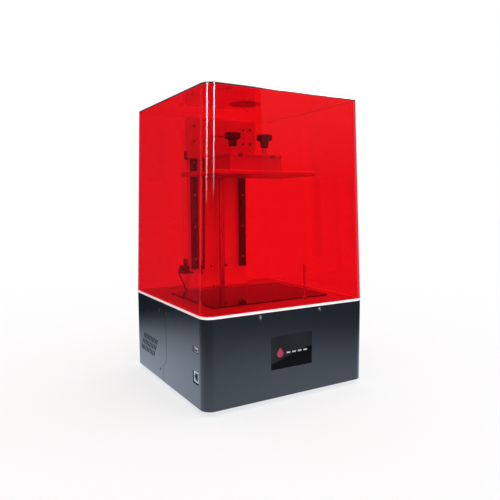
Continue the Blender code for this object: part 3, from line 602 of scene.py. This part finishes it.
def makeRailScrews():
    mesh = bmesh.new()
    count = 0
    for node in ("rail_left", "rail_right"):
        low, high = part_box(node)
        x, height = (low.x + high.x) / 2 / mm, low.z / mm + rails["first"]
        while height < high.z / mm:
            addScrew(mesh, (x, low.y / mm + rails["sunk"], height), (0, -1, 0), *rails["screw"])
            height += rails["pitch"]
            count += 1
    made("railScrews", mesh, screwBright, bodyOf("rail_left"))
    mesh = bmesh.new()
    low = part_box("column")[0]
    for x, z in rails["footScrews"]:
        addScrew(mesh, (x, low.y / mm - rails["footProud"], z), (0, -1, 0), *rails["footScrew"])
    made("footScrews", mesh, screwBlack, bodyOf("column"))
    return count


makeBezel()
print("column and deck: bezel and", makeRailScrews(), "rail screws")


# carriage, arm and knobs

carriage = {
    "screwSpread": 7.5,  # half spacing across on each bearing block
    "screwRows": {"lower": 11.0, "upper": 1.5},  # above the middle of each block
    "screw": (2.2, 2.5, 1.4, 2.6),  # head radius, head depth, shank radius, length
    "screwProud": 2.9,
    "armEdge": 0.7,
    "plateEdge": 0.4,
}


def makeCarriageScrews():
    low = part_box("carriage_plate")[0]
    mesh = bmesh.new()
    for level, rise in carriage["screwRows"].items():
        for hand in ("left", "right"):
            blockLow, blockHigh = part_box("bearing_block_" + level + "_" + hand)
            x = (blockLow.x + blockHigh.x) / 2 / mm
            z = (blockLow.z + blockHigh.z) / 2 / mm + rise
            for step in (-carriage["screwSpread"], carriage["screwSpread"]):
                place = (x + step, low.y / mm - carriage["screwProud"], z)
                addScrew(mesh, place, (0, -1, 0), *carriage["screw"])
    return made("carriageScrews", mesh, screwBlack, bodyOf("carriage_plate"))


makeCarriageScrews()
refined("armBody", "cantilever_arm", armCoat, carriage["armEdge"])
refined("carriageBody", "carriage_plate", carriageCoat, carriage["plateEdge"])

knobs = {
    "lobes": 8,
    "sections": [
        # radius, lobe depth and how far below the top
        (5.6, 0.0, 22.9),
        (6.8, 0.5, 21.6),
        (7.4, 0.9, 12.6),
        (9.5, 1.4, 10.9),
        (13.0, 2.5, 10.0),
        (13.8, 3.0, 8.8),
        (13.9, 3.1, 2.2),
        (13.3, 2.9, 0.7),
        (11.8, 2.2, 0.05),
    ],
    # stem with its collar: radius and height
    "stud": [(3.9, 390.6), (8.4, 390.6), (8.4, 393.2), (3.9, 393.2)],
    "studTop": 23.1,  # below the top of the knob
    "stepsPerLobe": 12,
    "lobeSharpness": 1.6,
}


def makeKnob(name, node):
    low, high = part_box(node)
    x, y, top = (low.x + high.x) / 2 / mm, (low.y + high.y) / 2 / mm, high.z / mm
    steps = knobs["lobes"] * knobs["stepsPerLobe"]
    loops = []
    for radius, depth, down in knobs["sections"]:
        loop = []
        for step in range(steps):
            turn = 2 * math.pi * step / steps
            wave = 0.5 - 0.5 * math.cos(knobs["lobes"] * turn)
            reach = radius - depth * wave ** knobs["lobeSharpness"]
            loop.append(Vector((x + reach * math.cos(turn), y + reach * math.sin(turn), top - down)))
        loops.append(loop)
    mesh = bmesh.new()
    skin(mesh, loops)
    made(name, mesh, blackPlastic, bodyOf(node), (node,))
    mesh = bmesh.new()
    stem = knobs["stud"][0][0]
    profile = [(stem, low.z / mm + 0.05), *knobs["stud"], (stem, top - knobs["studTop"])]
    turned(mesh, profile, (x, y), 28)
    made(name + "Stud", mesh, steel, bodyOf(node))


makeKnob("knobLeft", "knob_left")
makeKnob("knobRight", "knob_right")
print("carriage: arm, plate,", 4 * len(carriage["screwRows"]), "screws and two knobs")

groups = {
    "pale_rubber": paleRubber,
    "pale_band": bandPaintedPink,
    "zinc_steel": zincSteel,
    "deck_coat": deckCoat,
    "black_glass": blackGlass,
    "aluminium": aluminium,
    "circuit": circuit,
    "black_plastic": blackPlastic,
    "steel": steel,
    "column_plate": columnPlate,
    "rail_steel": railsPaintedDark,
    "cable_jacket": cableJacket,
    "carriage_coat": carriageCoat,
    "arm_coat": armCoat,
    "dark_paint": darkPaint,
}
slotOf = {part["node"]: part["material_slot"] for part in frame["record"]["subparts"]}
finished = ("lid_disc",)
for node, piece in nodes.items():
    if not piece.hide_render and node not in finished:
        dress(groups[slotOf[node]], slotOf[node], node)
print("groups:", len(groups), "finishes on the carried pieces")


# studio

studio = {
    "background": 1.0,
    "lampFrom": (0.62, -0.7, 0.35),  # the side the soft light comes from
    "lampRange": (0.7, 2.05),  # soft light on faces turned away from it and towards it
    "room": 0.0,  # what gloss sees of the room near the horizon
    "ceiling": 0.6,
    "floor": 0.24,
    "floorGlow": 0.635,
    "floorRadius": 9.0,
    # The floor's bright part is a painted pool of light, seen only in reflections.
    "pool": (0.16, 0.72),  # where the bright part of the floor starts and stops fading in gloss
    "poolColour": (0.86, 1.0, 1.2),
    "poolStrength": 1.35,
}


def makeWorld():
    world = bpy.data.worlds.new("studio")
    bpy.context.scene.world = world
    world.use_nodes = True
    world.node_tree.nodes.clear()
    path = addNode(world, "ShaderNodeLightPath")
    place = addNode(world, "ShaderNodeTexCoord")
    split = addNode(world, "ShaderNodeSeparateXYZ")
    rise = addNode(world, "ShaderNodeMapRange", {"From Min": 0.25, "From Max": 0.9})
    rise.inputs["To Min"].default_value = studio["room"]
    rise.inputs["To Max"].default_value = studio["ceiling"]
    facing = addNode(world, "ShaderNodeVectorMath", operation="DOT_PRODUCT")
    facing.inputs[1].default_value = studio["lampFrom"]
    lamp = addNode(world, "ShaderNodeMapRange", {"From Min": -1.0, "From Max": 1.0})
    lamp.inputs["To Min"].default_value, lamp.inputs["To Max"].default_value = studio["lampRange"]
    strength = addNode(world, "ShaderNodeMix", {"A": studio["background"]})
    fill = addNode(world, "ShaderNodeBackground", {"Color": (1.0, 1.0, 1.0, 1.0)})
    room = addNode(world, "ShaderNodeBackground", {"Color": (1.0, 1.0, 1.0, 1.0)})
    mirrored = addNode(world, "ShaderNodeMath", operation="SUBTRACT", use_clamp=True)
    mix = addNode(world, "ShaderNodeMixShader")
    output = addNode(world, "ShaderNodeOutputWorld")
    join(world, place.outputs["Generated"], split.inputs["Vector"])
    join(world, split.outputs["Z"], rise.inputs["Value"])
    join(world, rise.outputs["Result"], room.inputs["Strength"])
    join(world, place.outputs["Generated"], facing.inputs[0])
    join(world, facing.outputs["Value"], lamp.inputs["Value"])
    join(world, lamp.outputs["Result"], strength.inputs["B"])
    join(world, path.outputs["Is Diffuse Ray"], strength.inputs["Factor"])
    join(world, strength.outputs["Result"], fill.inputs["Strength"])
    join(world, path.outputs["Is Glossy Ray"], mirrored.inputs[0])
    join(world, path.outputs["Is Transmission Ray"], mirrored.inputs[1])
    join(world, mirrored.outputs["Value"], mix.inputs["Fac"])
    join(world, fill.outputs["Background"], mix.inputs[1])
    join(world, room.outputs["Background"], mix.inputs[2])
    join(world, mix.outputs["Shader"], output.inputs["Surface"])


def makeFloor():
    mesh = bmesh.new()
    bmesh.ops.create_circle(mesh, cap_ends=True, segments=96, radius=studio["floorRadius"])
    data = bpy.data.meshes.new("floor")
    mesh.to_mesh(data)
    mesh.free()
    finish = bpy.data.materials.new("paleFloor")
    finish.use_nodes = True
    finish.node_tree.nodes.clear()
    shade = (studio["floor"],) * 3
    plain = addNode(finish, "ShaderNodeBsdfDiffuse", {"Color": (*shade, 1.0)})
    glow = addNode(finish, "ShaderNodeEmission", {"Strength": studio["floorGlow"]})
    both = addNode(finish, "ShaderNodeAddShader")
    place = addNode(finish, "ShaderNodeTexCoord")
    length = addNode(finish, "ShaderNodeVectorMath", operation="LENGTH")
    near, far = studio["pool"]
    fade = addNode(finish, "ShaderNodeMapRange", {"From Min": near, "From Max": far, "To Max": 0.0})
    fade.inputs["To Min"].default_value = studio["poolStrength"]
    fade.interpolation_type = "SMOOTHSTEP"
    # Painted pool of light on the floor, seen only in gloss: bright and bluish near the object, fading out
    # further away.
    dark = addNode(finish, "ShaderNodeEmission", {"Color": (*studio["poolColour"], 1.0)})
    path = addNode(finish, "ShaderNodeLightPath")
    mirrored = addNode(finish, "ShaderNodeMath", operation="SUBTRACT", use_clamp=True)
    mix = addNode(finish, "ShaderNodeMixShader")
    output = addNode(finish, "ShaderNodeOutputMaterial")
    join(finish, place.outputs["Object"], length.inputs[0])
    join(finish, length.outputs["Value"], fade.inputs["Value"])
    join(finish, fade.outputs["Result"], dark.inputs["Strength"])
    join(finish, path.outputs["Is Glossy Ray"], mirrored.inputs[0])
    join(finish, path.outputs["Is Transmission Ray"], mirrored.inputs[1])
    join(finish, mirrored.outputs["Value"], mix.inputs["Fac"])
    join(finish, plain.outputs["BSDF"], both.inputs[0])
    join(finish, glow.outputs["Emission"], both.inputs[1])
    join(finish, both.outputs["Shader"], mix.inputs[1])
    join(finish, dark.outputs["Emission"], mix.inputs[2])
    join(finish, mix.outputs["Shader"], output.inputs["Surface"])
    data.materials.append(finish)
    floor = bpy.data.objects.new("floor", data)
    bpy.context.scene.collection.objects.link(floor)


softBoxes = {
    # direction from the near corner (degrees from +X), distance, width, bottom, top, strength
    "stripLeft": (208.0, 1.5, 0.34, 0.4, 1.9, 40.0),
    "stripFront": (276.0, 1.5, 0.34, 0.4, 1.9, 40.0),
    "panelRight": (311.0, 2.0, 0.5, 0.45, 1.9, 0.35),
}


def onlyInGloss(piece):
    piece.visible_camera = False
    piece.visible_diffuse = False
    piece.visible_transmission = False
    piece.visible_shadow = False


def makeSoftBox(name, direction, distance, width, bottom, top, strength):
    # Seen only by gloss; the light that falls on the object comes from the world
    mesh = bmesh.new()
    around = math.radians(direction)
    corner = cadLow.xy + Vector((cover["corner"], cover["corner"])) * mm
    centre = (corner + distance * Vector((math.cos(around), math.sin(around)))).to_3d()
    side = Vector((-math.sin(around), math.cos(around), 0)) * width / 2
    corners = [centre - side, centre + side]
    heights = (bottom, bottom, top, top)
    verts = [mesh.verts.new((*place.xy, z)) for place, z in zip(corners + corners[::-1], heights)]
    mesh.faces.new(verts)
    data = bpy.data.meshes.new(name)
    mesh.to_mesh(data)
    mesh.free()
    finish = bpy.data.materials.new(name + "Light")
    finish.use_nodes = True
    finish.node_tree.nodes.clear()
    place = addNode(finish, "ShaderNodeTexCoord")
    split = addNode(finish, "ShaderNodeSeparateXYZ")
    fade = addNode(finish, "ShaderNodeMapRange", {"From Max": 0.5, "To Max": strength})
    glow = addNode(finish, "ShaderNodeEmission")
    output = addNode(finish, "ShaderNodeOutputMaterial")
    join(finish, place.outputs["Generated"], split.inputs["Vector"])
    join(finish, split.outputs["Z"], fade.inputs["Value"])
    join(finish, fade.outputs["Result"], glow.inputs["Strength"])
    join(finish, glow.outputs["Emission"], output.inputs["Surface"])
    data.materials.append(finish)
    box = bpy.data.objects.new(name, data)
    bpy.context.scene.collection.objects.link(box)
    onlyInGloss(box)


topPanel = {"low": (0.62, -0.75), "high": (1.5, 0.5), "height": 1.5, "strength": 40.0}


def makeTopPanel():
    # Lights the right half of the cover's front top edge
    (left, front), (right, back), height = topPanel["low"], topPanel["high"], topPanel["height"]
    mesh = bmesh.new()
    corners = [(left, front), (right, front), (right, back), (left, back)]
    mesh.faces.new([mesh.verts.new((x, y, height)) for x, y in corners])
    data = bpy.data.meshes.new("topPanel")
    mesh.to_mesh(data)
    mesh.free()
    finish = bpy.data.materials.new("topPanelLight")
    finish.use_nodes = True
    finish.node_tree.nodes.clear()
    glow = addNode(finish, "ShaderNodeEmission", {"Strength": topPanel["strength"]})
    output = addNode(finish, "ShaderNodeOutputMaterial")
    join(finish, glow.outputs["Emission"], output.inputs["Surface"])
    data.materials.append(finish)
    panel = bpy.data.objects.new("topPanel", data)
    bpy.context.scene.collection.objects.link(panel)
    onlyInGloss(panel)


makeWorld()
makeFloor()
for name, values in softBoxes.items():
    makeSoftBox(name, *values)
makeTopPanel()

camera = {
    "place": (-0.4609, -0.8056, 0.3086),
    "tilt": 84.83,
    "heading": -30.52,
    "roll": -0.35,
    "lens": 37.67,
}


def makeCamera():
    data = bpy.data.cameras.new("camera")
    data.lens = camera["lens"]
    data.clip_start, data.clip_end = 0.01, 50.0
    eye = bpy.data.objects.new("camera", data)
    bpy.context.scene.collection.objects.link(eye)
    heading = Matrix.Rotation(math.radians(camera["heading"]), 4, "Z")
    tilt = Matrix.Rotation(math.radians(camera["tilt"]), 4, "X")
    roll = Matrix.Rotation(math.radians(camera["roll"]), 4, "Z")
    eye.matrix_world = Matrix.Translation(camera["place"]) @ heading @ tilt @ roll
    bpy.context.scene.camera = eye


makeCamera()
bpy.context.scene.view_settings.view_transform = "Standard"
print("studio: world, floor,", len(softBoxes), "soft boxes, camera")
